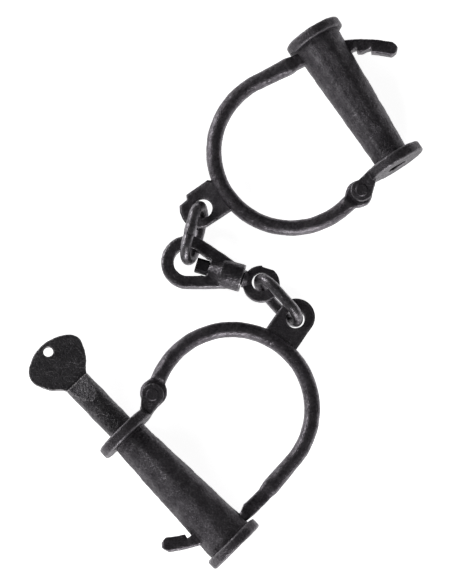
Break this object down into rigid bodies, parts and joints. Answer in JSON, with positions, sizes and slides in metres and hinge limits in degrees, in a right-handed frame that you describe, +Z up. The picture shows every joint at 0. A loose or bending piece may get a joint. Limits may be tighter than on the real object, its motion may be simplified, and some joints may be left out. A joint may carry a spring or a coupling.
{
  "type": "handcuffs",
  "caption": "Screw-key handcuffs: hinged bows locking into tapered barrels, joined by links and a swivel, with the key in one lock.",
  "frame": {"origin": "middle of the handcuffs' footprint on the floor that they lie on", "axes": "+Z up from the floor; +Y along the length, from the cuff that holds the key to the other; +X across"},
  "size_m": [0.1921, 0.2703, 0.0302],
  "materials": {
    "lock_iron": "blackened cast iron, satin",
    "bow_iron": "blackened forged iron, satin",
    "plate_iron": "blackened plate iron, smooth satin",
    "chain_iron": "blackened forged iron, hammered",
    "nut_iron": "black scaled iron",
    "key_iron": "blackened iron, scratched",
    "spring_steel": "oiled spring steel",
    "bolt_steel": "plain turned steel"
  },
  "bodies": {
    "upper_lock": {"upper_lock_barrel": "lock_iron", "upper_collar": "lock_iron", "upper_end_plug": "lock_iron", "upper_hinge_plate": "lock_iron", "upper_hinge_rivet": "lock_iron", "upper_spring_seat": "bolt_steel", "upper_bolt_spring": "spring_steel"},
    "upper_bow": {"upper_bow": "bow_iron", "upper_lug": "plate_iron"},
    "upper_bolt": {"upper_bolt": "bolt_steel"},
    "upper_link": {"upper_link": "chain_iron"},
    "lower_lock": {"lower_lock_barrel": "lock_iron", "lower_collar": "lock_iron", "lower_end_plug": "lock_iron", "lower_hinge_plate": "lock_iron", "lower_hinge_rivet": "lock_iron", "lower_spring_seat": "bolt_steel", "lower_bolt_spring": "spring_steel"},
    "lower_bow": {"lower_bow": "bow_iron", "lower_lug": "plate_iron"},
    "lower_bolt": {"lower_bolt": "bolt_steel"},
    "lower_link": {"lower_link": "chain_iron"},
    "swivel_body": {"swivel_body": "chain_iron"},
    "swivel_stud": {"swivel_stud": "plate_iron", "swivel_nut": "nut_iron"},
    "key": {"key_head": "key_iron", "key_barrel": "key_iron"}
  },
  "joints": [
    {"name": "upper_link_swing", "type": "hinge", "parent": "swivel_body", "child": "upper_link", "pos_m": [-0.01898, 0.01478, 0.0092], "axis": [0, 0, 1], "range_deg": [-12, 50]},
    {"name": "upper_cuff_swing", "type": "hinge", "parent": "upper_link", "child": "upper_bow", "pos_m": [-0.01238, 0.04116, 0.0092], "axis": [0.0668, 0.0412, -0.9969], "range_deg": [-14, 20]},
    {"name": "upper_bow_swing", "type": "hinge", "parent": "upper_bow", "child": "upper_lock", "pos_m": [0.0666, 0.04789, 0.01341], "axis": [0.0668, 0.0412, -0.9969], "range_deg": [-5.65, 90]},
    {"name": "upper_bolt_slide", "type": "slide", "parent": "upper_lock", "child": "upper_bolt", "axis": [-0.5255, 0.8508, 0], "range_m": [0, 0.0027], "deforming": ["upper_bolt_spring"]},
    {"name": "swivel_turn", "type": "hinge", "parent": "swivel_body", "child": "swivel_stud", "pos_m": [-0.01873, 0.01347, 0.0085], "axis": [0.9583, -0.2857, 0], "range_deg": [-110, 110]},
    {"name": "lower_link_swing", "type": "hinge", "parent": "swivel_stud", "child": "lower_link", "pos_m": [0.01647, 0.00468, 0.0092], "axis": [0, 0, 1], "range_deg": [-28, 40]},
    {"name": "lower_cuff_swing", "type": "hinge", "parent": "lower_link", "child": "lower_bow", "pos_m": [0.03467, -0.01554, 0.0092], "axis": [-0.056, -0.055, -0.9969], "range_deg": [-60, 18]},
    {"name": "lower_bow_swing", "type": "hinge", "parent": "lower_bow", "child": "lower_lock", "pos_m": [-0.03567, -0.0527, 0.01341], "axis": [-0.056, -0.055, -0.9969], "range_deg": [-11.3, 66]},
    {"name": "lower_bolt_slide", "type": "slide", "parent": "lower_lock", "child": "lower_bolt", "axis": [0.7009, -0.7133, 0], "range_m": [0, 0.0027], "deforming": ["lower_bolt_spring"]},
    {"name": "key_turn", "type": "hinge", "parent": "lower_lock", "child": "key", "pos_m": [-0.04633, -0.07243, 0.0151], "axis": [0.7009, -0.7133, 0], "range_deg": [-720, 0]}
  ],
  "couplings": [
    {"joint": "key_turn", "follows": "lower_bolt_slide", "rad_per_m": -4654.2}
  ]
}
